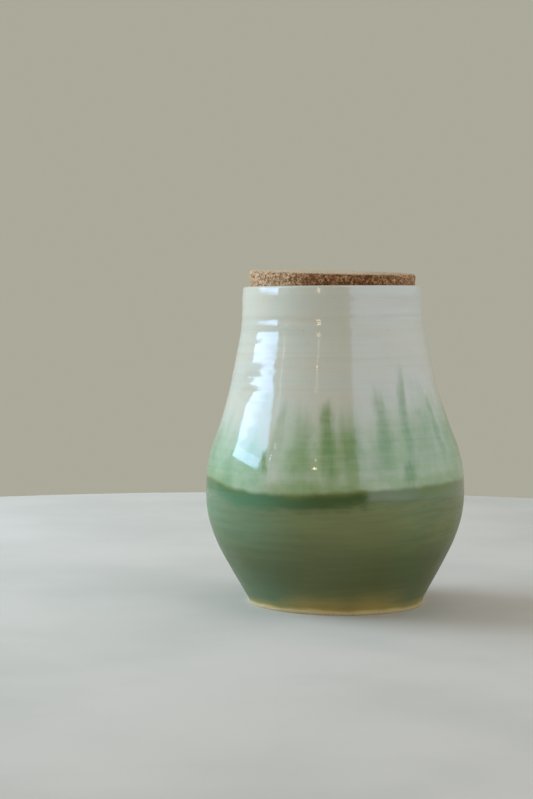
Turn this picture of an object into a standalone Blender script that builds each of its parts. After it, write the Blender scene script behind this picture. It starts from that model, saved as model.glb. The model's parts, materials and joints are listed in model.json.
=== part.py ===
"""A wheel-thrown stoneware jar with a tapered cork stopper in its mouth.

Units are metres and +Z is up. The origin is the middle of the jar's foot, on the surface that the
jar stands on, and -Y is the front. The jar's own axis leans a little to the left, because its foot
was cut slightly out of square, and the stopper was pushed in a little askew.

Run with: blender --background --python part.py
"""

import math

import bmesh
import bpy
from mathutils import Matrix, Vector

# Jar: sizes along and across its own axis
JAR_HEIGHT = 0.152
BELLY_HEIGHT = 0.054
FOOT_DIAMETER = 0.0816
BELLY_DIAMETER = 0.1243
RIM_DIAMETER = 0.0862
BELLY_WALL = 0.005
RIM_WALL = 0.0035
FLOOR_THICKNESS = 0.007
FLOOR_ROUND = 0.010
LIP_OUTER_ROUND = 0.002
LIP_INNER_ROUND = 0.0012
FOOT_EDGE_ROUND = 0.0007
LEAN_DEGREES = 1.35

# Stopper: its width comes from the mouth, the clearance and the taper
STOPPER_THICKNESS = 0.021
STOPPER_PROUD = 0.0065
STOPPER_EDGE_ROUND = 0.0012
SEAT_CLEARANCE = 0.0003
TAPER_DEGREES = 5.4
TILT_RIGHT_DEGREES = 2.3
TILT_FRONT_DEGREES = 2.0

# Outer wall, as (share of the height, share of the radius): from the foot to the belly, and then
# from the belly to the rim, where the radius share counts from the rim's radius to the belly's
LOWER_WALL_SHARES = (
    (0.0, 0.0),
    (0.36, 0.51),
    (0.55, 0.755),
    (0.77, 0.94),
    (1.0, 1.0),
)
UPPER_WALL_SHARES = (
    (0.13, 0.955),
    (0.21, 0.86),
    (0.30, 0.69),
    (0.38, 0.55),
    (0.50, 0.37),
    (0.68, 0.172),
    (0.77, 0.08),
    (0.87, 0.027),
    (1.0, 0.0),
)

# Fineness of the solids
SEGMENTS = 64
OUTER_STEPS = 24
INNER_STEPS = 16
FLOOR_ROUND_STEPS = 4
LIP_STEPS = 3
EDGE_STEPS = 2
SHARP_DEGREES = 40.0

# A corner's rounding takes no more than this share of the wall or height that carries it
LIP_LIMIT_SHARE = 0.55
EDGE_LIMIT_SHARE = 0.4

# The clay goes this much further down than the lean needs before the foot is cut flat
FOOT_SPARE_SHARE = 1.5

# Points closer than this share of the wall are one point
MERGE_SHARE = 0.001

# Finishes, as linear colours, with the heights of the glaze changes as shares of the jar's height
CREAM_GLAZE = (0.56, 0.58, 0.50, 1.0)
SAGE_GLAZE = (0.10, 0.145, 0.07, 1.0)
AMBER_CLAY = (0.30, 0.20, 0.08, 1.0)
CORK_BROWN = (0.33, 0.20, 0.11, 1.0)
GLAZE_ROUGHNESS = 0.15
CORK_ROUGHNESS = 0.85
AMBER_TOP_SHARE = 0.02
SAGE_BOTTOM_SHARE = 0.05
SAGE_TOP_SHARE = 0.39
CREAM_BOTTOM_SHARE = 0.42


def clear_objects():
    """Removes the objects that the open file holds."""
    for item in list(bpy.data.objects):
        bpy.data.objects.remove(item)


def wall_stations():
    """Gives the (height, radius) points that the outer wall passes through, foot to rim."""
    foot = FOOT_DIAMETER / 2
    belly = BELLY_DIAMETER / 2
    rim = RIM_DIAMETER / 2
    above_belly = JAR_HEIGHT - BELLY_HEIGHT
    lower = [(BELLY_HEIGHT * up, foot + (belly - foot) * out) for up, out in LOWER_WALL_SHARES]
    upper = [
        (BELLY_HEIGHT + above_belly * up, rim + (belly - rim) * out) for up, out in UPPER_WALL_SHARES
    ]
    return lower + upper


def station_slopes(stations):
    """Gives the wall's slope at each station, weighted from the stretches on its two sides."""
    spans = [high[0] - low[0] for low, high in zip(stations, stations[1:])]
    chords = [(high[1] - low[1]) / (high[0] - low[0]) for low, high in zip(stations, stations[1:])]
    middle = [
        (chords[i] * spans[i + 1] + chords[i + 1] * spans[i]) / (spans[i] + spans[i + 1])
        for i in range(len(chords) - 1)
    ]
    return [chords[0]] + middle + [chords[-1]]


def outer_wall(height):
    """Gives the outer wall's (radius, slope) at a height, on a smooth curve through the stations."""
    stations = wall_stations()
    slopes = station_slopes(stations)
    if height <= 0:
        return stations[0][1] + slopes[0] * height, slopes[0]
    index = 0
    while index < len(stations) - 2 and height > stations[index + 1][0]:
        index += 1
    low_height, low_radius = stations[index]
    high_height, high_radius = stations[index + 1]
    span = high_height - low_height
    t = (height - low_height) / span
    rise = high_radius - low_radius
    start = span * slopes[index]
    end = span * slopes[index + 1]
    cubic = start + end - 2 * rise
    square = 3 * rise - 2 * start - end
    radius = low_radius + t * (start + t * (square + t * cubic))
    slope = (start + t * (2 * square + t * 3 * cubic)) / span
    return radius, slope


def wall_thickness(height):
    """Gives the wall's thickness, which thins evenly from the belly up to the rim."""
    share = max(0.0, (height - BELLY_HEIGHT) / (JAR_HEIGHT - BELLY_HEIGHT))
    return BELLY_WALL + (RIM_WALL - BELLY_WALL) * share


def inner_radius(height):
    """Gives the inner wall's radius: the thickness is measured square to the outer wall."""
    radius, slope = outer_wall(height)
    return radius - wall_thickness(height) * math.hypot(1, slope)


def lip_rounds():
    """Gives the lip's outer and inner rounding, which the rim's wall limits."""
    outer = min(LIP_OUTER_ROUND, RIM_WALL * LIP_LIMIT_SHARE)
    inner = min(LIP_INNER_ROUND, RIM_WALL - outer)
    return outer, inner


def arc(centre, radius, start_degrees, end_degrees, steps):
    """Gives (across, up) points along an arc about a centre, with both of its ends."""
    points = []
    for step in range(steps + 1):
        angle = math.radians(start_degrees + (end_degrees - start_degrees) * step / steps)
        points.append((centre[0] + radius * math.cos(angle), centre[1] + radius * math.sin(angle)))
    return points


def outer_points():
    """Gives the outer wall's (radius, height) points, from below the foot to under the lip."""
    spare = FOOT_DIAMETER / 2 * math.tan(math.radians(LEAN_DEGREES)) * FOOT_SPARE_SHARE
    top = JAR_HEIGHT - lip_rounds()[0]
    heights = [-spare] + [top * step / OUTER_STEPS for step in range(1, OUTER_STEPS)]
    return [(outer_wall(height)[0], height) for height in heights]


def lip_points():
    """Gives the lip's points: the outer rounding, the flat top and the inner rounding."""
    outer_round, inner_round = lip_rounds()
    outside = outer_wall(JAR_HEIGHT - outer_round)[0]
    mouth = mouth_radius()
    outer = arc((outside - outer_round, JAR_HEIGHT - outer_round), outer_round, 0, 90, LIP_STEPS)
    inner = arc((mouth + inner_round, JAR_HEIGHT - inner_round), inner_round, 90, 180, LIP_STEPS)
    return outer + inner


def mouth_radius():
    """Gives the radius of the mouth's throat, just under the lip's inner rounding."""
    return inner_radius(JAR_HEIGHT)


def inner_points():
    """Gives the inner wall's points from under the lip down to the rounded corner of the floor."""
    top = JAR_HEIGHT - lip_rounds()[1]
    bottom = FLOOR_THICKNESS + FLOOR_ROUND
    heights = [top + (bottom - top) * step / INNER_STEPS for step in range(1, INNER_STEPS)]
    return [(inner_radius(height), height) for height in heights]


def floor_points():
    """Gives the corner between the inner wall and the floor, a curve drawn to where they meet."""
    wall_end = Vector((inner_radius(FLOOR_THICKNESS + FLOOR_ROUND), FLOOR_THICKNESS + FLOOR_ROUND))
    corner = Vector((inner_radius(FLOOR_THICKNESS), FLOOR_THICKNESS))
    floor_end = corner - Vector((FLOOR_ROUND, 0))
    points = []
    for step in range(FLOOR_ROUND_STEPS + 1):
        t = step / FLOOR_ROUND_STEPS
        points.append(tuple(wall_end.lerp(corner, t).lerp(corner.lerp(floor_end, t), t)))
    return points


def spin_profile(shape, profile):
    """Turns a profile of (radius, height) points about the Z axis into a closed mesh."""
    ring = [shape.verts.new((radius, 0, height)) for radius, height in profile]
    edges = [shape.edges.new(pair) for pair in zip(ring, ring[1:])]
    bmesh.ops.spin(
        shape,
        geom=ring + edges,
        cent=(0, 0, 0),
        axis=(0, 0, 1),
        angle=math.tau,
        steps=SEGMENTS,
        use_merge=True,
    )
    bmesh.ops.remove_doubles(shape, verts=shape.verts, dist=RIM_WALL * MERGE_SHARE)
    bmesh.ops.recalc_face_normals(shape, faces=shape.faces)


def lean_and_cut_foot(shape):
    """Leans the jar about the middle of its foot, and cuts the foot flat with a rounded edge."""
    lean = Matrix.Rotation(-math.radians(LEAN_DEGREES), 3, "Y")
    bmesh.ops.rotate(shape, verts=shape.verts, cent=(0, 0, 0), matrix=lean)
    everything = shape.verts[:] + shape.edges[:] + shape.faces[:]
    cut = bmesh.ops.bisect_plane(
        shape,
        geom=everything,
        plane_co=(0, 0, 0),
        plane_no=(0, 0, -1),
        clear_outer=True,
    )
    foot_edge = [item for item in cut["geom_cut"] if isinstance(item, bmesh.types.BMEdge)]
    bmesh.ops.contextual_create(shape, geom=foot_edge)
    bmesh.ops.bevel(
        shape,
        geom=foot_edge,
        offset=min(FOOT_EDGE_ROUND, FLOOR_THICKNESS * EDGE_LIMIT_SHARE),
        offset_type="OFFSET",
        segments=EDGE_STEPS,
        profile=0.5,
        affect="EDGES",
        material=-1,
    )
    bmesh.ops.recalc_face_normals(shape, faces=shape.faces)


def stopper_radius(height):
    """Gives the stopper's radius at a height above the rim, where it clears the throat."""
    taper = math.tan(math.radians(TAPER_DEGREES))
    throat_depth = lip_rounds()[1]
    return mouth_radius() - SEAT_CLEARANCE + (height + throat_depth) * taper


def stopper_seat():
    """Gives the stopper's place on the jar's axis: a tilted cone is centred in the round throat."""
    taper = math.tan(math.radians(TAPER_DEGREES))
    throat_depth = lip_rounds()[1]
    shift = stopper_radius(-throat_depth) * taper - throat_depth
    left = shift * math.tan(math.radians(TILT_RIGHT_DEGREES))
    back = shift * math.tan(math.radians(TILT_FRONT_DEGREES))
    return Vector((-left, back, JAR_HEIGHT))


def cone_body(shape):
    """Makes the stopper's tapered body about its own axis, with the rim's level at zero."""
    bottom = STOPPER_PROUD - STOPPER_THICKNESS
    bmesh.ops.create_cone(
        shape,
        cap_ends=True,
        segments=SEGMENTS,
        radius1=stopper_radius(bottom),
        radius2=stopper_radius(STOPPER_PROUD),
        depth=STOPPER_THICKNESS,
    )
    middle = (STOPPER_PROUD + bottom) / 2
    bmesh.ops.translate(shape, verts=shape.verts, vec=(0, 0, middle))


def round_stopper_edges(shape):
    """Rounds the edges of the stopper's top and bottom."""
    ends = [face for face in shape.faces if len(face.verts) == SEGMENTS]
    end_edges = list({edge for face in ends for edge in face.edges})
    bmesh.ops.bevel(
        shape,
        geom=end_edges,
        offset=min(STOPPER_EDGE_ROUND, STOPPER_THICKNESS * EDGE_LIMIT_SHARE),
        offset_type="OFFSET",
        segments=EDGE_STEPS,
        profile=0.5,
        affect="EDGES",
        material=-1,
    )


def principled(name, colour, roughness):
    """Makes a material with one Principled BSDF and gives (material, shader)."""
    material = bpy.data.materials.new(name)
    material.use_nodes = True
    material.diffuse_color = colour
    shader = material.node_tree.nodes["Principled BSDF"]
    shader.inputs["Base Color"].default_value = colour
    shader.inputs["Roughness"].default_value = roughness
    shader.inputs["Metallic"].default_value = 0.0
    return material, shader


def glaze_material():
    """Glossy glaze that changes with height: amber clay, sage green, and cream above the belly."""
    material, shader = principled("two_tone_glaze", SAGE_GLAZE, GLAZE_ROUGHNESS)
    nodes = material.node_tree.nodes
    links = material.node_tree.links
    place = nodes.new("ShaderNodeTexCoord")
    split = nodes.new("ShaderNodeSeparateXYZ")
    height = nodes.new("ShaderNodeMapRange")
    height.inputs["From Max"].default_value = JAR_HEIGHT
    ramp = nodes.new("ShaderNodeValToRGB")
    stops = ramp.color_ramp.elements
    stops[0].position = AMBER_TOP_SHARE
    stops[0].color = AMBER_CLAY
    stops[1].position = CREAM_BOTTOM_SHARE
    stops[1].color = CREAM_GLAZE
    for share in (SAGE_BOTTOM_SHARE, SAGE_TOP_SHARE):
        stop = stops.new(share)
        stop.color = SAGE_GLAZE
    links.new(place.outputs["Object"], split.inputs["Vector"])
    links.new(split.outputs["Z"], height.inputs["Value"])
    links.new(height.outputs["Result"], ramp.inputs["Fac"])
    links.new(ramp.outputs["Color"], shader.inputs["Base Color"])
    return material


def cork_material():
    """Dull brown of pressed cork granules."""
    return principled("pressed_cork", CORK_BROWN, CORK_ROUGHNESS)[0]


def add_object(name, shape, material):
    """Turns a finished shape into a smooth-shaded object with its material."""
    mesh = bpy.data.meshes.new(name)
    shape.to_mesh(mesh)
    shape.free()
    mesh.materials.append(material)
    mesh.shade_smooth()
    mesh.set_sharp_from_angle(angle=math.radians(SHARP_DEGREES))
    item = bpy.data.objects.new(name, mesh)
    bpy.context.scene.collection.objects.link(item)
    return item


def build_jar():
    """Builds the jar, one fired piece, standing on its foot."""
    profile = [(0, outer_points()[0][1])] + outer_points() + lip_points()
    profile += inner_points() + floor_points() + [(0, FLOOR_THICKNESS)]
    shape = bmesh.new()
    spin_profile(shape, profile)
    lean_and_cut_foot(shape)
    return add_object("stoneware_jar", shape, glaze_material())


def build_stopper(jar_axis):
    """Builds the cork stopper with its origin on the axis that it lifts along."""
    shape = bmesh.new()
    cone_body(shape)
    round_stopper_edges(shape)
    stopper = add_object("cork_stopper", shape, cork_material())
    stopper.parent = jar_axis
    stopper.location = stopper_seat()
    stopper.rotation_euler = (math.radians(TILT_FRONT_DEGREES), math.radians(TILT_RIGHT_DEGREES), 0)
    return stopper


def build_jar_axis():
    """Makes the empty that stands for the jar's leaning axis, from the middle of its foot."""
    jar_axis = bpy.data.objects.new("jar_axis", None)
    jar_axis.rotation_euler = (0, -math.radians(LEAN_DEGREES), 0)
    bpy.context.scene.collection.objects.link(jar_axis)
    return jar_axis


def main():
    """Builds the jar and its stopper."""
    clear_objects()
    build_jar()
    build_stopper(build_jar_axis())
    bpy.context.view_layer.update()


main()
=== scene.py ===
"""Looks of a wheel-thrown stoneware jar with a pressed cork stopper.

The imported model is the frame: metres, +Z up, -Y the front, and the origin in the middle of the
foot. StonewareJar and CorkStopper build and dress the two pieces, and Studio makes the floor, the
light and the camera. The glazes' patterns are worked out in millimetres and degrees about the
jar's own axis, with 0 degrees at the front and the right-hand side positive. Colours are linear.
"""

import json
import logging
import math
import random
from collections.abc import Iterable
from dataclasses import dataclass, fields
from enum import Enum

import bmesh
import bpy
from mathutils import Matrix, Quaternion, Vector, noise


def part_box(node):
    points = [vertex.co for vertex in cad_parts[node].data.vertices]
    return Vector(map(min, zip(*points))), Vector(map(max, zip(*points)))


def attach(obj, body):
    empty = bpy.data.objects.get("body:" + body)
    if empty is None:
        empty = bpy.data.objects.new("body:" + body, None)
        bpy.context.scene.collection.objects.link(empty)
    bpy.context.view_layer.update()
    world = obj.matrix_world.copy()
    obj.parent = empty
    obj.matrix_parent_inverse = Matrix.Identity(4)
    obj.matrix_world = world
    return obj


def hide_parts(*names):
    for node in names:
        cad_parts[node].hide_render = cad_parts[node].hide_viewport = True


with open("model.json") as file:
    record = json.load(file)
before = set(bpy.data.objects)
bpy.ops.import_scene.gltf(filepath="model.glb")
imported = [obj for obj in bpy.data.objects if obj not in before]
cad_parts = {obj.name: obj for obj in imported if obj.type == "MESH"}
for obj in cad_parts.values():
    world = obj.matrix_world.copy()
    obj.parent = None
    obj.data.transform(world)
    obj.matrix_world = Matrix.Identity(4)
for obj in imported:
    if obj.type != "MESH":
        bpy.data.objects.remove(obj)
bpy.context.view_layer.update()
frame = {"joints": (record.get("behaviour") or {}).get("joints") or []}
LOG = logging.getLogger("corked_jar")

MILLIMETRE = 0.001
# How far soft noise strays to each side of a half over most of its patches
NOISE_REACH = 0.25
# What the relief attribute holds where the jar's surface isn't pressed in or out
RELIEF_ZERO = 0.5
HALF_TURN = 180.0

Socket = bpy.types.NodeSocket
Colour = tuple[float, float, float]
Span = tuple[float, float]


@dataclass(frozen=True)
class Fade:
    """A smooth change from low at start to high at end, where start may be more than end."""

    start: "Value"
    end: "Value"
    low: "Value" = 0.0
    high: "Value" = 1.0

    def at(self, value: float) -> float:
        """Gives the fade's level for a plain number.

        Args:
            value: the number to place between start and end.

        Returns:
            The level, from low to high.
        """
        share = min(1.0, max(0.0, (value - self.start) / (self.end - self.start)))
        return self.low + (self.high - self.low) * share * share * (3 - 2 * share)


@dataclass(frozen=True)
class Signal:
    """A number, a vector or a colour that nodes work out, with its sums written plainly."""

    desk: "NodeDesk"
    socket: Socket

    def __add__(self, other: "Value") -> "Signal":
        """Adds a number or a vector."""
        return self.desk.maths("ADD", self, other)

    def __radd__(self, other: "Value") -> "Signal":
        """Adds this to a plain number."""
        return self.desk.maths("ADD", other, self)

    def __sub__(self, other: "Value") -> "Signal":
        """Takes a number away."""
        return self.desk.maths("SUBTRACT", self, other)

    def __rsub__(self, other: "Value") -> "Signal":
        """Takes this away from a plain number."""
        return self.desk.maths("SUBTRACT", other, self)

    def __mul__(self, other: "Value") -> "Signal":
        """Multiplies by a number or a vector."""
        return self.desk.maths("MULTIPLY", self, other)

    def __truediv__(self, other: "Value") -> "Signal":
        """Divides by a number."""
        return self.desk.maths("DIVIDE", self, other)

    def away_from(self, centre: "Value") -> "Signal":
        """Gives how many degrees an angle lies from another one, the shorter way round."""
        turned = self.desk.maths("WRAP", self - centre, HALF_TURN, -HALF_TURN)
        return self.desk.maths("ABSOLUTE", turned)

    def faded(self, fade: Fade) -> "Signal":
        """Puts the number through a smooth change.

        Args:
            fade: the change.

        Returns:
            The fade's level.
        """
        ends = {"From Min": fade.start, "From Max": fade.end, "To Min": fade.low, "To Max": fade.high}
        return self.desk.result(
            "ShaderNodeMapRange", "Result", {"Value": self, **ends}, interpolation_type="SMOOTHSTEP"
        )


Value = Signal | float | tuple[float, float, float]


def find(sockets: Iterable[Socket], name: str) -> Socket:
    """Finds an input or an output of a node.

    Args:
        sockets: the node's inputs or outputs.
        name: the identifier or the name to look for.

    Returns:
        The first socket that has it.
    """
    return next(item for item in sockets if name in (item.identifier, item.name))


class NodeDesk:
    """Lays out the nodes of a material, a world or a node group and joins them."""

    def __init__(self, tree: bpy.types.NodeTree) -> None:
        """Keeps the tree that the nodes go into."""
        self.tree = tree

    def feed(self, target: Socket, value: Value) -> None:
        """Joins a signal to an input, or writes a plain value there.

        Args:
            target: the input.
            value: a signal, a number, a vector or a colour.
        """
        if isinstance(value, Signal):
            self.tree.links.new(value.socket, target)
        elif target.type == "RGBA":
            target.default_value = (*value, 1.0)
        else:
            target.default_value = value

    def feed_named(self, node: bpy.types.Node, values: dict[str, Value]) -> None:
        """Feeds several inputs of a node.

        Args:
            node: the node whose inputs are fed.
            values: what goes into each input, by its identifier or name.
        """
        for name, value in values.items():
            self.feed(find(node.inputs, name), value)

    def add(self, kind: str, values: dict[str, Value] | None = None, **settings: object) -> bpy.types.Node:
        """Adds a node.

        Args:
            kind: the node's type name.
            values: what goes into its inputs.
            **settings: properties of the node to set.

        Returns:
            The new node.
        """
        node = self.tree.nodes.new(kind)
        for name, value in settings.items():
            setattr(node, name, value)
        self.feed_named(node, values or {})
        return node

    def result(
        self, kind: str, output: str, values: dict[str, Value] | None = None, **settings: object
    ) -> Signal:
        """Adds a node for the sake of one of its outputs.

        Args:
            kind: the node's type name.
            output: the output's identifier or name.
            values: what goes into its inputs.
            **settings: properties of the node to set.

        Returns:
            The output.
        """
        node = self.add(kind, values, **settings)
        return Signal(self, find(node.outputs, output))

    def maths(self, operation: str, *values: Value) -> Signal:
        """Adds a sum of numbers or of vectors.

        Args:
            operation: the sum's operation.
            *values: what it works on, in order.

        Returns:
            The sum's result.
        """
        vectors = any(isinstance(value, Signal) and value.socket.type == "VECTOR" for value in values)
        node = self.add("ShaderNodeVectorMath" if vectors else "ShaderNodeMath", operation=operation)
        for target, value in zip(node.inputs, values):
            self.feed(target, value)
        return Signal(self, node.outputs[0])

    def combine(self, x: Value, y: Value, z: Value) -> Signal:
        """Makes a vector of three numbers."""
        return self.result("ShaderNodeCombineXYZ", "Vector", {"X": x, "Y": y, "Z": z})

    def split(self, vector: Signal) -> tuple[Signal, ...]:
        """Takes a vector apart into its three numbers."""
        outputs = self.add("ShaderNodeSeparateXYZ", {"Vector": vector}).outputs
        return tuple(Signal(self, outputs[name]) for name in "XYZ")

    def bearing(self, x: Signal, y: Signal) -> Signal:
        """Gives the degrees round +Z from the front, positive to the right."""
        return self.maths("DEGREES", self.maths("ARCTAN2", x, y * -1.0))

    def mix(self, share: Value, first: Value, second: Value) -> Signal:
        """Lays a second colour over a first one.

        Args:
            share: how much of the second colour shows, from 0 to 1.
            first: the colour below.
            second: the colour above.

        Returns:
            The mixed colour.
        """
        values = {"Factor_Float": share, "A_Color": first, "B_Color": second}
        return self.result("ShaderNodeMix", "Result_Color", values, data_type="RGBA")

    def ramp(self, value: Signal, stops: tuple[tuple[float, Colour], ...]) -> Signal:
        """Picks a colour along a row of colours.

        Args:
            value: the number that picks the colour, from 0 to 1.
            stops: (place, colour) pairs in rising order.

        Returns:
            The colour.
        """
        node = self.add("ShaderNodeValToRGB", {"Fac": value})
        elements = node.color_ramp.elements
        for index, (place, colour) in enumerate(stops):
            stop = elements[index] if index < len(elements) else elements.new(place)
            stop.position = place
            stop.color = (*colour, 1.0)
        return Signal(self, node.outputs["Color"])

    def attribute(self, name: str) -> Signal:
        """Reads a number that the mesh holds at each vertex."""
        return self.result("ShaderNodeAttribute", "Fac", attribute_name=name)

    def here(self) -> Signal:
        """Gives the Object coordinates, in metres."""
        return self.result("ShaderNodeTexCoord", "Object")

    def bump(self, height: Signal, depth: float, below: Signal | None = None) -> Signal:
        """Turns a height into a bumped normal.

        Args:
            height: the height, from 0 to 1.
            depth: what a height of 1 is, in metres.
            below: a bumped normal that this one is added to.

        Returns:
            The normal.
        """
        values = {"Strength": 1.0, "Distance": depth, "Height": height}
        if below is not None:
            values["Normal"] = below
        return self.result("ShaderNodeBump", "Normal", values)


@dataclass(frozen=True)
class Grain:
    """Soft noise over a surface.

    across and up are its patches per unit of the coordinates, detail is how many finer layers it
    has, and roughness is how strong they are. It runs from 0 to 1 about a half, unless it has a
    fade that its level is put through, or a swing, which it then strays to each side of zero.
    """

    across: float
    up: float
    detail: float = 2.0
    roughness: float = 0.5
    fade: Fade | None = None
    swing: float = 0.0

    def over(self, place: Signal) -> Signal:
        """Lays the noise over a surface.

        Args:
            place: the surface's coordinates.

        Returns:
            The noise's level.
        """
        scaled = place * (self.across, self.across, self.up)
        values = {"Vector": scaled, "Scale": 1.0, "Detail": self.detail, "Roughness": self.roughness}
        level = place.desk.result("ShaderNodeTexNoise", "Fac", values)
        if self.swing:
            return (level - 0.5) * (self.swing / NOISE_REACH)
        return level.faded(self.fade) if self.fade else level


@dataclass(frozen=True)
class Specks:
    """Scattered round specks: their spacing, radius and strength, and a shift of the pattern."""

    spacing: float
    radius: float
    strength: float
    shift: tuple[float, float, float] = (0.0, 0.0, 0.0)

    def over(self, place: Signal) -> Signal:
        """Scatters the specks over a surface.

        Args:
            place: the surface's coordinates.

        Returns:
            A mask, at its full strength in the middle of a speck.
        """
        values = {"Vector": place + self.shift, "Scale": 1 / self.spacing}
        distance = place.desk.result("ShaderNodeTexVoronoi", "Distance", values)
        edge = self.radius / self.spacing
        return distance.faded(Fade(edge, edge / 2, 0.0, self.strength))


@dataclass(frozen=True)
class Stretch:
    """A stretch round the jar where a colour shows, in degrees, with soft ends."""

    angle: float
    half_width: float
    strength: float
    fade: float = 8.0


@dataclass(frozen=True)
class Belt:
    """The stretches round the jar where a colour shows, and how strong it is everywhere else."""

    stretches: tuple[Stretch, ...]
    least: float = 0.0

    def at(self, angle: Signal) -> Signal:
        """Gives how strongly the colour shows.

        Args:
            angle: the angle round the jar, in degrees.

        Returns:
            A mask from 0 to 1.
        """
        mask = self.least
        for stretch in self.stretches:
            outer = stretch.half_width + stretch.fade / 2
            inner = stretch.half_width - stretch.fade / 2
            shown = angle.away_from(stretch.angle).faded(Fade(outer, inner, 0.0, stretch.strength))
            mask = angle.desk.maths("MAXIMUM", mask, shown)
        return mask


@dataclass(frozen=True)
class Wave:
    """A wave in the glaze line: how many go round, its reach, and the angle of a crest."""

    count: int
    reach: float
    crest: float


@dataclass(frozen=True)
class GlazeLine:
    """The line where the two glazes meet, which wavers round the jar at a height in millimetres."""

    height: float = 60.2
    waves: tuple[Wave, ...] = (
        Wave(1, 0.8, 187.0),
        Wave(2, 0.9, -89.0),
        Wave(3, 0.6, 46.0),
        Wave(4, 0.8, 16.5),
        Wave(5, 0.4, -8.0),
    )
    waver: Grain = Grain(9.0, 0.0, 4.0, swing=0.45)

    def height_at(self, angle: float) -> float:
        """Gives the line's height at an angle in degrees."""
        swings = (wave.reach * math.cos(math.radians(angle - wave.crest) * wave.count) for wave in self.waves)
        return self.height + sum(swings)

    def draw(self, angle: Signal, wrapped: Signal) -> Signal:
        """Works out the same height in a material, with a fine waver.

        Args:
            angle: the angle round the jar, in degrees.
            wrapped: the coordinates that go round the jar.

        Returns:
            The height.
        """
        height = self.height
        for wave in self.waves:
            turned = angle.desk.maths("RADIANS", angle - wave.crest) * wave.count
            height = height + angle.desk.maths("COSINE", turned) * wave.reach
        return height + self.waver.over(wrapped)


@dataclass(frozen=True)
class JarSpot:
    """Where a point of the jar's surface lies, in millimetres and degrees about the jar's axis.

    place is the point itself. wrapped goes by its direction from the axis and its height, for
    upright streaks that keep to their angle. above is its height over the glaze line.
    """

    desk: NodeDesk
    place: Signal
    wrapped: Signal
    angle: Signal
    height: Signal
    over_floor: Signal
    above: Signal

    @classmethod
    def find(cls, desk: NodeDesk, lean: float, line: GlazeLine) -> "JarSpot":
        """Works the place out from Object coordinates.

        Args:
            desk: the material's desk.
            lean: how far the jar's axis leans from +Z towards -X, in radians.
            line: where the glazes meet.

        Returns:
            The place.
        """
        here = desk.here()
        scale = (1 / MILLIMETRE,) * 3
        upright = {"Vector": here, "Rotation": (0, lean, 0), "Scale": scale}
        place = desk.result("ShaderNodeMapping", "Vector", upright)
        x, y, height = desk.split(place)
        angle = desk.bearing(x, y)
        outwards = desk.maths("NORMALIZE", desk.combine(x, y, 0.0))
        wrapped = outwards + desk.combine(0.0, 0.0, height)
        over_floor = desk.split(here)[2] * (1 / MILLIMETRE)
        above = height - line.draw(angle, wrapped)
        return cls(desk, place, wrapped, angle, height, over_floor, above)


@dataclass(frozen=True)
class Drip:
    """A run of green down the cream glaze.

    Angles are degrees and heights are millimetres. drift is how far it moves to the right on its
    way down, and head is the share of its length over which it grows strong.
    """

    angle: float
    half_width: float
    top: float
    foot: float
    strength: float
    drift: float = 0.0
    head: float = 0.3


FRONT_DRIPS = (
    Drip(-74.0, 8.0, 88.0, 58.0, 0.48),
    Drip(-55.0, 4.5, 76.0, 56.0, 0.40, 1.0),
    Drip(-32.6, 1.3, 80.0, 68.0, 0.75, 1.0, 0.15),
    Drip(-26.0, 2.8, 101.0, 70.0, 0.34, -1.0),
    Drip(-15.5, 4.6, 97.0, 59.0, 0.54, 1.5, 0.5),
    Drip(-4.0, 4.0, 100.5, 61.0, 0.85, 3.0, 0.2),
    Drip(6.5, 4.4, 99.0, 64.0, 0.78, 1.8, 0.6),
    Drip(22.8, 3.0, 107.0, 66.0, 0.58, 2.5, 0.3),
    Drip(24.0, 5.6, 86.0, 60.5, 0.40, -3.5, 0.3),
    Drip(39.3, 2.6, 117.0, 64.0, 0.64, -3.5, 0.3),
    Drip(34.2, 2.3, 73.0, 59.5, 0.85, -0.5, 0.35),
    Drip(47.5, 6.0, 99.0, 68.0, 0.28, 0.0, 0.4),
    Drip(57.5, 2.2, 103.0, 69.0, 0.56, 1.0, 0.15),
    Drip(69.0, 5.0, 98.0, 62.0, 0.38, 0.0, 0.4),
)


@dataclass(frozen=True)
class DripScatter:
    """How drips are spread round the side that the front ones leave bare.

    Each pair is the least and the most of what a drip gets, and the spacing is in degrees.
    """

    seed: int = 11
    first: float = 80.0
    last: float = 278.0
    tops: Span = (88.0, 114.0)
    feet: Span = (57.0, 70.0)
    half_widths: Span = (2.4, 5.2)
    strengths: Span = (0.3, 0.95)
    drifts: Span = (-2.5, 3.0)
    spacings: Span = (9.0, 17.0)

    def spread(self) -> list[Drip]:
        """Draws the drips, always the same ones.

        Returns:
            The drips, one after another round the back.
        """
        pick = random.Random(self.seed)
        spans = (self.tops, self.feet, self.half_widths, self.strengths, self.drifts)
        drips = []
        angle = self.first
        while angle < self.last:
            top, foot, half_width, strength, drift = (pick.uniform(*span) for span in spans)
            drips.append(Drip(angle, half_width, top, foot, strength, drift))
            angle += pick.uniform(*self.spacings)
        return drips


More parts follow.
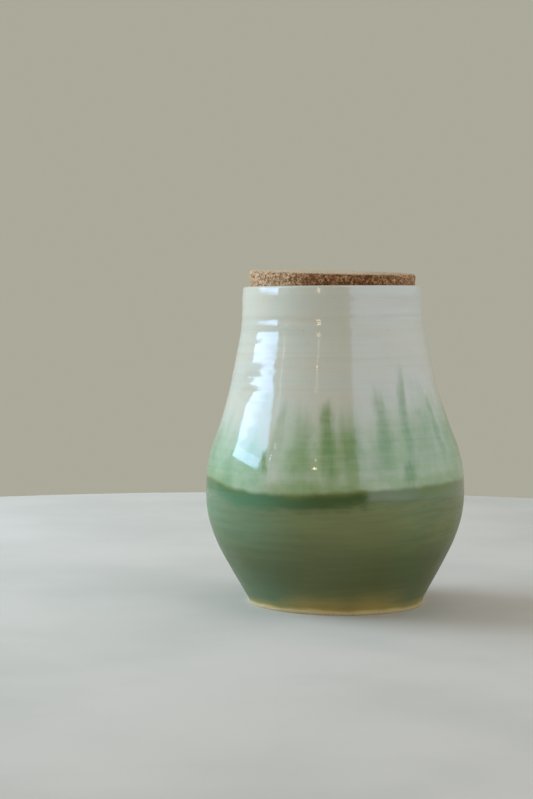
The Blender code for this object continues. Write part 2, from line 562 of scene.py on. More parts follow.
@dataclass(frozen=True)
class DripBrush:
    """How a drip is drawn, along its length from 0 at its top to 1 at its foot."""

    spread: Fade = Fade(0.0, 0.8, 0.95, 1.3)
    point: Fade = Fade(1.15, 0.8, 0.35, 1.0)
    side: Fade = Fade(1.4, 0.15)
    start: float = -0.03
    end: Fade = Fade(1.15, 0.6)

    def group(self) -> bpy.types.NodeTree:
        """Makes the node group that draws one drip.

        Returns:
            The group, whose mask is strongest in the drip's core.
        """
        group = bpy.data.node_groups.new("glaze_drip", "ShaderNodeTree")
        for name in ("spot_angle", "spot_height", *(field.name for field in fields(Drip))):
            group.interface.new_socket(name, in_out="INPUT", socket_type="NodeSocketFloat")
        group.interface.new_socket("mask", in_out="OUTPUT", socket_type="NodeSocketFloat")
        desk = NodeDesk(group)
        given = {socket.name: Signal(desk, socket) for socket in desk.add("NodeGroupInput").outputs}
        fallen = (given["top"] - given["spot_height"]) / (given["top"] - given["foot"])
        away = given["spot_angle"].away_from(given["angle"] + given["drift"] * fallen)
        reach = given["half_width"] * fallen.faded(self.spread) * fallen.faded(self.point)
        side = (away / reach).faded(self.side)
        ends = fallen.faded(Fade(self.start, given["head"])) * fallen.faded(self.end)
        desk.add("NodeGroupOutput", {"mask": side * ends * given["strength"]})
        return group

    def draw(self, angle: Signal, height: Signal) -> Signal:
        """Draws all the drips.

        Args:
            angle: the angle round the jar, in degrees.
            height: the height along the jar's axis.

        Returns:
            The drips' mask.
        """
        group = self.group()
        mask = 0.0
        for drip in (*FRONT_DRIPS, *DripScatter().spread()):
            values = {"spot_angle": angle, "spot_height": height, **vars(drip)}
            drawn = angle.desk.result("ShaderNodeGroup", "mask", values, node_tree=group)
            mask = mask + drawn * (1.0 - mask)
        return mask


@dataclass(frozen=True)
class CreamGlaze:
    """The upper glaze: cream with brown throwing lines and painted reflections on the neck, under a green
    haze and green drips.

    Heights are millimetres along the jar's axis, and sides are degrees round it.
    """

    cream: Colour = (0.63, 0.62, 0.53)
    cream_cool: Colour = (0.60, 0.63, 0.56)
    # Painted reflection: the pale wall's bluish veil on the right of the neck
    cream_painted_veil: Colour = (0.64, 0.66, 0.615)
    # Brown of the throwing lines and grooves, and of the painted backdrop reflection on the neck
    ring_and_reflection_brown: Colour = (0.49, 0.46, 0.35)
    haze_green: Colour = (0.33, 0.50, 0.33)
    haze_leaf: Colour = (0.335, 0.465, 0.255)
    halo_olive: Colour = (0.26, 0.36, 0.16)
    drip_teal: Colour = (0.14, 0.30, 0.17)
    drip_leaf: Colour = (0.13, 0.275, 0.078)
    drip_olive: Colour = (0.17, 0.265, 0.07)
    # The cream: where it is cooler, where a painted reflection of the pale wall makes it bluish on the neck's
    # right, where brown shows in it, and where a painted reflection of the backdrop browns the front of the
    # neck
    tone: Grain = Grain(0.027, 0.072, 3.0, fade=Fade(0.35, 0.65))
    painted_veil_height: Fade = Fade(126.0, 142.0)
    painted_veil_side: Fade = Fade(6.0, 16.0)
    lines: Grain = Grain(0.012, 0.6, 4.0, 0.6)
    line_brown: Fade = Fade(0.48, 0.72, 0.0, 0.24)
    lines_low: Fade = Fade(90.0, 112.0, 0.3, 1.0)
    lines_high: Fade = Fade(142.0, 134.0, 0.35, 1.0)
    # Painted reflection: the backdrop's brown on the front of the neck
    painted_backdrop_height: Fade = Fade(118.0, 142.0, 0.0, 0.16)
    painted_backdrop_left: Fade = Fade(-34.0, -14.0)
    painted_backdrop_right: Fade = Fade(26.0, 2.0)
    groove_brown: Fade = Fade(0.46, 0.30, 0.0, 0.16)
    # The haze over the glaze line: its ragged sides, its cloudy top and its unevenness
    feather: Grain = Grain(20.0, 0.14, 3.0, swing=0.9)
    wander: Grain = Grain(5.0, 0.05, swing=1.2)
    cloud: Grain = Grain(7.0, 0.05, 3.0, swing=7.0)
    mottle: Grain = Grain(9.0, 0.2, 3.0, fade=Fade(0.3, 0.7, 0.78, 1.1))
    level: Grain = Grain(0.06, 0.4, fade=Fade(0.35, 0.7, 1.0, 0.86))
    line_shade: Fade = Fade(0.35, 0.65, 1.05, 0.90)
    haze_climb: float = 13.0
    haze_fall: Fade = Fade(37.0, 7.0, 0.0, 1.08)
    halo_fall: Fade = Fade(8.0, 0.0, 0.0, 0.9)
    # The drips: how their ends hang, their fibres, and where they are olive
    drop: Grain = Grain(14.0, 0.02, swing=3.0)
    fibres: Grain = Grain(70.0, 0.06, fade=Fade(0.3, 0.7, 0.88, 1.0))
    olive: Grain = Grain(9.0, 0.09, fade=Fade(0.45, 0.7))
    # Where the green haze hangs over the glaze line
    haze: Belt = Belt(
        (
            Stretch(-62.0, 33.0, 1.0, 16.0),
            Stretch(4.0, 30.0, 0.80, 14.0),
            Stretch(56.0, 36.0, 1.0, 14.0),
            Stretch(110.0, 13.0, 0.7, 14.0),
            Stretch(158.0, 26.0, 1.0, 16.0),
            Stretch(-138.0, 16.0, 0.7, 14.0),
        ),
        0.32,
    )
    # Where the haze reaches higher up the belly
    tall: Belt = Belt(
        (
            Stretch(-2.0, 26.0, 0.6, 16.0),
            Stretch(48.0, 34.0, 1.0, 20.0),
            Stretch(170.0, 30.0, 1.0, 30.0),
        )
    )
    # Where the haze is a leaf green, and not a cool one
    leafy: Belt = Belt((Stretch(32.0, 52.0, 1.0, 26.0), Stretch(-140.0, 30.0, 0.9, 30.0)))
    # Where the haze turns olive just over the line
    halo: Belt = Belt(
        (
            Stretch(-68.0, 18.0, 0.65, 14.0),
            Stretch(-8.0, 24.0, 1.0, 12.0),
            Stretch(54.0, 20.0, 0.6, 14.0),
            Stretch(135.0, 32.0, 0.8, 16.0),
            Stretch(-150.0, 30.0, 0.7, 16.0),
        ),
        0.2,
    )
    # Where the drips turn towards teal
    teal: Belt = Belt((Stretch(-72.0, 26.0, 0.75, 20.0), Stretch(165.0, 26.0, 0.7, 20.0)))

    def bare(self, spot: JarSpot, lines: Signal) -> Signal:
        """Gives the colour of the cream by itself.

        Args:
            spot: where the point lies.
            lines: the throwing lines.

        Returns:
            The colour.
        """
        mix = spot.desk.mix
        colour = mix(self.tone.over(spot.place), self.cream, self.cream_cool)
        # Painted reflection: the pale wall's bluish veil, drawn into the cream on the right of the neck
        lip = spot.height.faded(self.painted_veil_height) * spot.angle.faded(self.painted_veil_side)
        colour = mix(lip, colour, self.cream_painted_veil)
        on_neck = spot.height.faded(self.lines_low) * spot.height.faded(self.lines_high)
        colour = mix(lines.faded(self.line_brown) * on_neck, colour, self.ring_and_reflection_brown)
        # Painted reflection: the backdrop's brown, drawn into the cream on the front of the neck
        sides = spot.angle.faded(self.painted_backdrop_left) * spot.angle.faded(self.painted_backdrop_right)
        colour = mix(spot.height.faded(self.painted_backdrop_height) * sides, colour, self.ring_and_reflection_brown)
        grooves = spot.desk.attribute("relief").faded(self.groove_brown)
        return mix(grooves, colour, self.ring_and_reflection_brown)

    def colour(self, spot: JarSpot) -> Signal:
        """Gives the colour of the cream with its haze and its drips.

        Args:
            spot: where the point lies.

        Returns:
            The colour.
        """
        mix = spot.desk.mix
        lines = self.lines.over(spot.place)
        colour = self.bare(spot, lines)
        feather = self.feather.over(spot.wrapped)
        angle = spot.angle + feather + self.wander.over(spot.wrapped)
        mottle = self.mottle.over(spot.wrapped)
        level = self.level.over(spot.place) * lines.faded(self.line_shade)
        up_haze = spot.above + self.cloud.over(spot.wrapped) - self.tall.at(angle) * self.haze_climb
        haze = up_haze.faded(self.haze_fall) * mottle * level * self.haze.at(angle)
        colour = mix(haze, colour, mix(self.leafy.at(angle), self.haze_green, self.haze_leaf))
        halo = (spot.above + feather).faded(self.halo_fall) * mottle * self.halo.at(angle)
        colour = mix(halo, colour, self.halo_olive)
        drips = DripBrush().draw(angle, spot.height + self.drop.over(spot.wrapped))
        leaf = mix(self.olive.over(spot.wrapped), self.drip_leaf, self.drip_olive)
        leaf = mix(self.teal.at(angle), leaf, self.drip_teal)
        return mix(drips * self.fibres.over(spot.wrapped) * level, colour, leaf)


@dataclass(frozen=True)
class SageGlaze:
    """The lower glaze: sage with turned streaks, painted shade under the belly, a dark pool at its top and an
    amber foot.

    Heights and depths are millimetres, and sides are degrees round the jar.
    """

    sage: Colour = (0.178, 0.205, 0.075)
    sage_cool: Colour = (0.145, 0.24, 0.13)
    # Darker sage of the streaks, and of the painted shade under the belly
    sage_streak_and_shade: Colour = (0.09, 0.11, 0.033)
    sage_streak_and_shade_cool: Colour = (0.085, 0.128, 0.048)
    streak_green: Colour = (0.17, 0.265, 0.07)
    streak_olive: Colour = (0.26, 0.265, 0.105)
    line_olive: Colour = (0.15, 0.185, 0.035)
    line_gold: Colour = (0.145, 0.20, 0.026)
    pool_teal: Colour = (0.07, 0.195, 0.09)
    pool_deep: Colour = (0.039, 0.087, 0.013)
    amber: Colour = (0.45, 0.33, 0.095)
    amber_green: Colour = (0.26, 0.32, 0.12)
    amber_pale: Colour = (0.66, 0.52, 0.23)
    # The sage: its streaks, its cooler patches, and where it darkens under the belly towards the foot, mostly
    # painted shade and partly the glaze's own tone
    streaks: Grain = Grain(0.035, 0.45, 4.0, 0.55)
    patches: Grain = Grain(0.024, 0.048, fade=Fade(0.3, 0.6, 0.6, 1.0))
    # Painted shade under the belly, easing off at the foot
    painted_shade_below: Fade = Fade(46.0, 22.0, 0.0, 0.75)
    painted_shade_foot: Fade = Fade(4.0, 17.0, 0.45, 1.0)
    dark_streak: Fade = Fade(0.42, 0.74, 0.0, 0.32)
    light_streak: Fade = Fade(0.5, 0.26, 0.0, 0.14)
    # The pool under the glaze line: its ragged edge, its depth, and where it is deepest
    ragged: Grain = Grain(4.0, 0.2, 3.0, swing=1.5)
    ragged_turn: float = 2.0
    pool_drag: float = 7.0
    pool_end: Fade = Fade(9.6, 4.4)
    deep_left: Fade = Fade(-38.0, -4.0)
    deep_right: Fade = Fade(26.0, 14.0)
    # The olive at the line: how deep it goes, its blotches, and where it is golden
    olive_reach: Fade = Fade(20.0, 40.0, 3.0, 7.0)
    olive_ragged: float = 0.6
    olive_top: float = 0.3
    blotches: Grain = Grain(9.0, 0.2, 3.0)
    blotch_level: Span = (0.40, 0.56)
    blotch_least: Fade = Fade(20.0, 40.0, 0.75, 0.5)
    gold_side: Fade = Fade(24.0, 40.0)
    # The slanted brush streaks
    slant: float = 0.1
    brush: Grain = Grain(0.05, 0.3, 3.0, 0.6, Fade(0.44, 0.68))
    brush_top: Fade = Fade(-2.0, -6.0)
    brush_foot: Fade = Fade(26.0, 38.0)
    # The amber: how uneven its top is, and how high it reaches
    foot_sway: Grain = Grain(2.2, 0.06, 3.0, swing=1.2)
    streak_climb: float = 6.0
    brushed_height: Fade = Fade(19.0, 9.0)
    warm_climb: float = 4.5
    warm_height: float = 6.0
    warm_full: float = 0.5
    warm_strength: float = 0.9
    green_share: float = 0.5
    pale_height: Fade = Fade(2.8, 1.0, 0.0, 0.9)
    # Where the glaze is cooler
    cool: Belt = Belt(
        (
            Stretch(-75.0, 50.0, 1.0, 38.0),
            Stretch(42.0, 14.0, 0.45, 16.0),
            Stretch(160.0, 30.0, 0.8, 40.0),
        )
    )
    # Where the glaze has pooled dark under the line
    pool: Belt = Belt(
        (
            Stretch(-84.0, 20.0, 0.6, 14.0),
            Stretch(-23.0, 38.0, 0.95),
            Stretch(148.0, 34.0, 0.85),
            Stretch(-122.0, 21.0, 0.55),
        ),
        0.2,
    )
    # Where the two glazes have mixed to olive at the line
    olive: Belt = Belt(
        (
            Stretch(-64.0, 24.0, 0.6, 14.0),
            Stretch(-4.0, 21.0, 0.75, 14.0),
            Stretch(52.0, 16.0, 1.0, 10.0),
            Stretch(112.0, 14.0, 0.6),
            Stretch(-160.0, 22.0, 0.7),
        ),
        0.1,
    )
    # Where slanted olive streaks cross the glaze
    slanted: Belt = Belt((Stretch(50.0, 22.0, 0.45, 20.0), Stretch(-120.0, 24.0, 0.45, 24.0)))
    # Where a brush has dragged amber up from the foot
    brushed: Belt = Belt(
        (
            Stretch(28.0, 15.0, 0.36, 18.0),
            Stretch(-6.0, 12.0, 0.12, 20.0),
            Stretch(165.0, 22.0, 0.3, 20.0),
        )
    )
    # Where the amber of the foot reaches up over the glaze
    warm: Belt = Belt((Stretch(4.0, 36.0, 1.0, 36.0), Stretch(175.0, 30.0, 0.8, 40.0)))

    def bare(self, spot: JarSpot, streaks: Signal, cool: Signal) -> Signal:
        """Gives the colour of the sage by itself.

        Args:
            spot: where the point lies.
            streaks: the turned streaks.
            cool: how cool the glaze is there.

        Returns:
            The colour.
        """
        mix = spot.desk.mix
        colour = mix(cool, self.sage, self.sage_cool)
        streak_and_shade_sage = mix(cool, self.sage_streak_and_shade, self.sage_streak_and_shade_cool)
        # Painted shade: darker under the belly, where the wall faces down, easing off at the foot
        dark = spot.height.faded(self.painted_shade_below) * spot.over_floor.faded(self.painted_shade_foot)
        colour = mix(dark, colour, streak_and_shade_sage)
        colour = mix(streaks.faded(self.dark_streak), colour, streak_and_shade_sage)
        return mix(streaks.faded(self.light_streak), colour, self.streak_green)

    def pooled(self, spot: JarSpot, colour: Signal, streaks: Signal, ragged: Signal) -> Signal:
        """Lays the dark pool and the olive of the glaze line over the sage.

        Args:
            spot: where the point lies.
            colour: the sage.
            streaks: the turned streaks.
            ragged: how far the pool's edge strays.

        Returns:
            The colour.
        """
        mix = spot.desk.mix
        depth = spot.above * -1.0
        angle = spot.angle + ragged * self.ragged_turn
        end = (depth + ragged + (streaks - 0.5) * self.pool_drag).faded(self.pool_end)
        deep = spot.angle.faded(self.deep_left) * spot.angle.faded(self.deep_right)
        pool = mix(deep, self.pool_teal, self.pool_deep)
        colour = mix(end * self.pool.at(angle), colour, pool)
        reach = spot.angle.faded(self.olive_reach)
        top = (depth + ragged * self.olive_ragged).faded(Fade(reach, self.olive_top))
        level = Fade(*self.blotch_level, spot.angle.faded(self.blotch_least))
        blotches = self.blotches.over(spot.wrapped).faded(level)
        olive = mix(spot.angle.faded(self.gold_side), self.line_olive, self.line_gold)
        return mix(top * blotches * self.olive.at(angle), colour, olive)

    def footed(
        self, spot: JarSpot, colour: Signal, streaks: Signal, ragged: Signal, cool: Signal
    ) -> Signal:
        """Lays the amber of the foot over the sage.

        Args:
            spot: where the point lies.
            colour: the sage.
            streaks: the turned streaks.
            ragged: how far the pool's edge strays.
            cool: how cool the glaze is there.

        Returns:
            The colour.
        """
        mix = spot.desk.mix
        height = spot.over_floor + self.foot_sway.over(spot.wrapped)
        angle = spot.angle + ragged * self.ragged_turn
        brushed = (height + streaks * self.streak_climb).faded(self.brushed_height)
        colour = mix(brushed * self.brushed.at(angle), colour, self.amber)
        top = self.warm.at(spot.angle) * self.warm_climb + self.warm_height
        warm = Fade(top, self.warm_full, 0.0, self.warm_strength)
        warm = (height + (streaks - 0.5) * self.streak_climb).faded(warm)
        colour = mix(warm, colour, mix(cool * self.green_share, self.amber, self.amber_green))
        return mix(height.faded(self.pale_height), colour, self.amber_pale)

    def colour(self, spot: JarSpot) -> Signal:
        """Gives the colour of the sage with its pool, its brush streaks and its foot.

        Args:
            spot: where the point lies.

        Returns:
            The colour.
        """
        streaks = self.streaks.over(spot.place)
        ragged = self.ragged.over(spot.wrapped)
        cool = self.cool.at(spot.angle) * self.patches.over(spot.place)
        colour = self.bare(spot, streaks, cool)
        colour = self.pooled(spot, colour, streaks, ragged)
        slanted = spot.desk.combine(spot.angle, 0.0, spot.height - spot.angle * self.slant)
        belt = spot.above.faded(self.brush_top) * spot.height.faded(self.brush_foot)
        brush = self.brush.over(slanted) * belt * self.slanted.at(spot.angle)
        colour = spot.desk.mix(brush, colour, self.streak_olive)
        return self.footed(spot, colour, streaks, ragged, cool)


def new_material(name: str) -> tuple[bpy.types.Material, NodeDesk, bpy.types.Node]:
    """Makes a material with one Principled shader.

    Args:
        name: the material's name.

    Returns:
        The material, a desk for its nodes, and its shader.
    """
    material = bpy.data.materials.new(name)
    material.use_nodes = True
    desk = NodeDesk(material.node_tree)
    return material, desk, material.node_tree.nodes["Principled BSDF"]


@dataclass(frozen=True)
class JarFinish:
    """The jar's two glazes, their gloss and specks, and the bare clay. Bumps are metres deep."""

    line: GlazeLine
    upper: CreamGlaze = CreamGlaze()
    lower: SageGlaze = SageGlaze()
    overlap: Fade = Fade(-1.2, 1.5)
    speck: Colour = (0.22, 0.20, 0.14)
    specks: Specks = Specks(4.2, 0.36, 0.3, (5.0, 2.0, 9.0))
    clay: Colour = (0.62, 0.53, 0.32)
    clay_grain: Grain = Grain(1.6, 1.6, 4.0, 0.7)
    clay_amber: Fade = Fade(0.4, 0.7)
    clay_edge: Grain = Grain(9.0, 0.0, swing=0.25)
    clay_height: Fade = Fade(1.5, 0.9)
    clay_roughness: float = 0.85
    clay_bump: float = 0.00015
    cloud: Grain = Grain(0.12, 0.12, 3.0)
    gloss: Fade = Fade(0.3, 0.7, 0.05, 0.10)
    satin: Fade = Fade(0.3, 0.7, 0.36, 0.45)
    glossy_from: Fade = Fade(-13.0, -2.5)
    ior: float = 1.5
    peel: Grain = Grain(0.2, 0.2, 0.0)
    peel_bump: float = 0.000012
    rings: Grain = Grain(0.011, 1.1, 3.0)
    ring_bump: float = 0.00004
    belly_low: Fade = Fade(60.0, 64.0)
    belly_high: Fade = Fade(94.0, 80.0)
    off_belly: Fade = Fade(0.0, 1.0, 1.0, 0.0)

    def colour(self, spot: JarSpot, bare: Signal, clay_grain: Signal) -> Signal:
        """Gives the colour of the whole jar.

        Args:
            spot: where the point lies.
            bare: where the clay is bare.
            clay_grain: the clay's grain.

        Returns:
            The colour.
        """
        mix = spot.desk.mix
        on_upper = spot.above.faded(self.overlap)
        colour = mix(on_upper, self.lower.colour(spot), self.upper.colour(spot))
        colour = mix(self.specks.over(spot.place), colour, self.speck)
        colour = mix(spot.desk.attribute("liner"), colour, self.upper.cream)
        clay = mix(clay_grain.faded(self.clay_amber), self.clay, self.lower.amber)
        return mix(bare, colour, clay)

    def make(self, lean: float) -> bpy.types.Material:
        """Makes the material.

        Args:
            lean: how far the jar's axis leans from +Z towards -X, in radians.

        Returns:
            The finished material.
        """
        material, desk, shader = new_material("two_tone_glaze")
        spot = JarSpot.find(desk, lean, self.line)
        clay_grain = self.clay_grain.over(spot.place)
        bare = (spot.over_floor + self.clay_edge.over(spot.wrapped)).faded(self.clay_height)
        cloud = self.cloud.over(spot.place)
        glossy = spot.above.faded(self.glossy_from)
        roughness = cloud.faded(self.gloss) * glossy + cloud.faded(self.satin) * (1.0 - glossy)
        roughness = roughness * (1.0 - bare) + bare * self.clay_roughness
        on_belly = spot.height.faded(self.belly_low) * spot.height.faded(self.belly_high)
        rings = self.rings.over(spot.place) * on_belly.faded(self.off_belly)
        surface = desk.bump(self.peel.over(spot.place), self.peel_bump)
        surface = desk.bump(rings, self.ring_bump, surface)
        surface = desk.bump(clay_grain * bare, self.clay_bump, surface)
        colour = self.colour(spot, bare, clay_grain)
        desk.feed_named(shader, {"Base Color": colour, "Roughness": roughness, "Normal": surface})
        shader.inputs["IOR"].default_value = self.ior
        return material


@dataclass(frozen=True)
class CorkFinish:
    """Pressed cork: granules of mixed browns with dark gaps, with painted light on its ends and top and
    painted shade in its middle. Places are millimetres along X.
    """

    bark: Colour = (0.125, 0.048, 0.017)
    brown: Colour = (0.26, 0.112, 0.044)
    tan: Colour = (0.44, 0.246, 0.112)
    pale: Colour = (0.66, 0.46, 0.29)
    # Painted light: the top face drawn pale, as lit from above
    crown: Colour = (0.66, 0.54, 0.38)
    gap: Colour = (0.095, 0.040, 0.015)
    brown_place: float = 0.14
    tan_place: float = 0.55
    tone_share: float = 0.8
    fleck_share: float = 1.2
    fibre: Grain = Grain(1.9, 1.9, 3.0, 0.6)
    # Painted light: the left end lighter, as the window side lights it
    painted_left_light: Fade = Fade(-10.0, -30.0, 0.0, 0.48)
    # Painted light: the right end lighter, as lit from that side
    faded: Fade = Fade(22.0, 36.0, 0.0, 0.28)
    # Painted shade: the middle of the cork darker, where less light falls
    painted_middle_shade: Fade = Fade(-14.0, -2.0, 0.0, -0.14)
    painted_middle_shade_end: Fade = Fade(28.0, 10.0)
    # Painted top light, fading off towards the right end
    painted_top_light_side: Fade = Fade(34.0, 4.0, 0.4, 1.0)
    crown_fibre: Fade = Fade(0.3, 0.6, 0.5, 0.9)
    gap_dark: Fade = Fade(0.25, 0.95, 0.0, 0.85)
    pits: Specks = Specks(1.05, 0.3, 0.6)
    roughness: Fade = Fade(0.3, 0.7, 0.82, 0.94)
    specular: float = 0.25
    bumps: Grain = Grain(3.2, 3.2, 3.0, 0.65)
    bump_depth: float = 0.00012

    def make(self) -> bpy.types.Material:
        """Makes the material, which reads the granules' tones and gaps from the mesh.

        Returns:
            The finished material.
        """
        material, desk, shader = new_material("pressed_cork")
        place = desk.here() * ((1 / MILLIMETRE,) * 3)
        across = desk.split(place)[0]
        fibre = self.fibre.over(place)
        tone = desk.attribute("granule") * self.tone_share + (fibre - 0.5) * self.fleck_share
        # Painted light on the cork's left and right ends
        painted_end_light = across.faded(self.painted_left_light) + across.faded(self.faded)
        # Painted shade across the middle of the cork
        painted_middle_shade = across.faded(self.painted_middle_shade) * across.faded(self.painted_middle_shade_end)
        stops = (
            (0.0, self.bark),
            (self.brown_place, self.brown),
            (self.tan_place, self.tan),
            (1.0, self.pale),
        )
        colour = desk.ramp(tone + painted_end_light + painted_middle_shade, stops)
        # Painted light on the top face
        crown = desk.attribute("crown") * across.faded(self.painted_top_light_side) * fibre.faded(self.crown_fibre)
        colour = desk.mix(crown, colour, self.crown)
        gaps = desk.maths("MAXIMUM", desk.attribute("gap").faded(self.gap_dark), self.pits.over(place))
        colour = desk.mix(gaps, colour, self.gap)
        normal = desk.bump(self.bumps.over(place), self.bump_depth)
        roughness = fibre.faded(self.roughness)
        desk.feed_named(shader, {"Base Color": colour, "Roughness": roughness, "Normal": normal})
        shader.inputs["Specular IOR Level"].default_value = self.specular
        return material


@dataclass(frozen=True)
class PlainFinish:
    """A plain matt surface of one soft colour with a faint cloudiness."""

    name: str
    colour: Colour
    cloud: Colour
    clouds: Grain = Grain(9.0, 9.0, 4.0, fade=Fade(0.35, 0.65))
    roughness: float = 0.9

    def make(self) -> bpy.types.Material:
        """Makes the material.

        Returns:
            The finished material.
        """
        material, desk, shader = new_material(self.name)
        colour = desk.mix(self.clouds.over(desk.here()), self.colour, self.cloud)
        desk.feed(shader.inputs["Base Color"], colour)
        shader.inputs["Roughness"].default_value = self.roughness
        return material


@dataclass(frozen=True)
class Groove:
    """A groove that a finger left round the neck: its height, depth and width are millimetres.

    deepest is the angle where it is deepest, in degrees, reach is how far round it stays so, even
    is the share of that depth that it keeps everywhere else, and sway is how far it climbs round
    the jar.
    """

    height: float
    depth: float
    width: float
    deepest: float = 0.0
    reach: float = 70.0
    even: float = 0.5
    sway: float = 0.3

    def depth_at(self, height: float, angle: float) -> float:
        """Gives the groove's depth at a point of the wall.

        Args:
            height: millimetres along the jar's axis.
            angle: degrees round the jar.

        Returns:
            Millimetres.
        """
        facing = (angle - self.deepest + HALF_TURN) % (2 * HALF_TURN) - HALF_TURN
        swing = self.sway * math.sin(math.radians(facing))
        gap = (height - self.height - swing) / self.width
        strength = self.even + (1 - self.even) * math.exp(-((facing / self.reach) ** 2))
        return self.depth * strength * math.exp(-gap * gap)


GROOVES = (
    Groove(145.2, 0.03, 0.9, 40.0),
    Groove(141.2, 0.03, 1.0, 160.0),
    Groove(136.9, 0.19, 2.0, -42.0, 40.0, 0.3),
    Groove(131.5, 0.16, 2.4, -46.0, 40.0, 0.3, -1.0),
    Groove(125.7, 0.10, 0.7, -60.0, 14.0, 0.1),
    Groove(121.8, 0.03, 1.0, 100.0),
    Groove(118.2, 0.04, 0.8, 30.0, 50.0, 0.1),
    Groove(110.3, 0.55, 2.5, -53.0, 7.0, 0.02),
    Groove(103.2, 0.60, 2.4, -54.0, 7.0, 0.02),
    Groove(100.0, 0.15, 1.6, -54.0, 7.0, 0.02),
    Groove(97.6, 0.03, 1.4, 120.0, 70.0, 0.3),
)


@dataclass(frozen=True)
class Ripple:
    """Unevenness of the thrown wall.

    depth is millimetres, turns is patches per radian round the jar, period is the millimetres of
    height for each patch, and fades say at what heights it shows.
    """

    depth: float
    turns: float
    period: float
    fades: tuple[Fade, ...]

    def rise_at(self, height: float, angle: float) -> float:
        """Gives how far the ripple stands out at a point of the wall.

        Args:
            height: millimetres along the jar's axis.
            angle: degrees round the jar.

        Returns:
            Millimetres, negative where it is pressed in.
        """
        turn = math.radians(angle)
        place = Vector((math.cos(turn) * self.turns, math.sin(turn) * self.turns, height / self.period))
        return self.depth * noise.noise(place) * math.prod(fade.at(height) for fade in self.fades)


RIPPLES = (
    Ripple(0.11, 0.5, 3.0, (Fade(92.0, 104.0), Fade(150.0, 146.0))),
    Ripple(0.06, 7.0, 4.5, (Fade(66.0, 84.0),)),
    Ripple(0.10, 0.5, 19.0, (Fade(150.0, 140.0),)),
    Ripple(0.012, 0.3, 1.7, (Fade(62.0, 52.0),)),
)


class Place(Enum):
    """The parts of the jar's surface."""

    OUTSIDE = "outside"
    INSIDE = "inside"


Section = list[tuple[float, float, Place]]

# The outer wall: shares of the height from foot to belly, and of the way out to the belly
LOWER_WALL_SHARES = ((0.0, 0.0), (0.36, 0.51), (0.55, 0.755), (0.77, 0.94), (1.0, 1.0))
# The same from belly to rim, with shares of the way out from the rim
UPPER_WALL_SHARES = (
    (0.13, 0.955),
    (0.21, 0.86),
    (0.30, 0.69),
    (0.38, 0.55),
    (0.50, 0.37),
    (0.68, 0.172),
    (0.77, 0.08),
    (0.87, 0.027),
    (1.0, 0.0),
)
# Rings under the foot: shares of the foot's radius, and of its edge's rounding
UNDERSIDE_SHARES = (
    (0.90, 0.0),
    (0.86, 0.35),
    (0.80, 0.05),
    (0.52, 0.0),
    (0.48, 0.25),
    (0.43, 0.0),
    (0.16, 0.0),
    (0.12, 0.2),
    (0.06, 0.05),
)


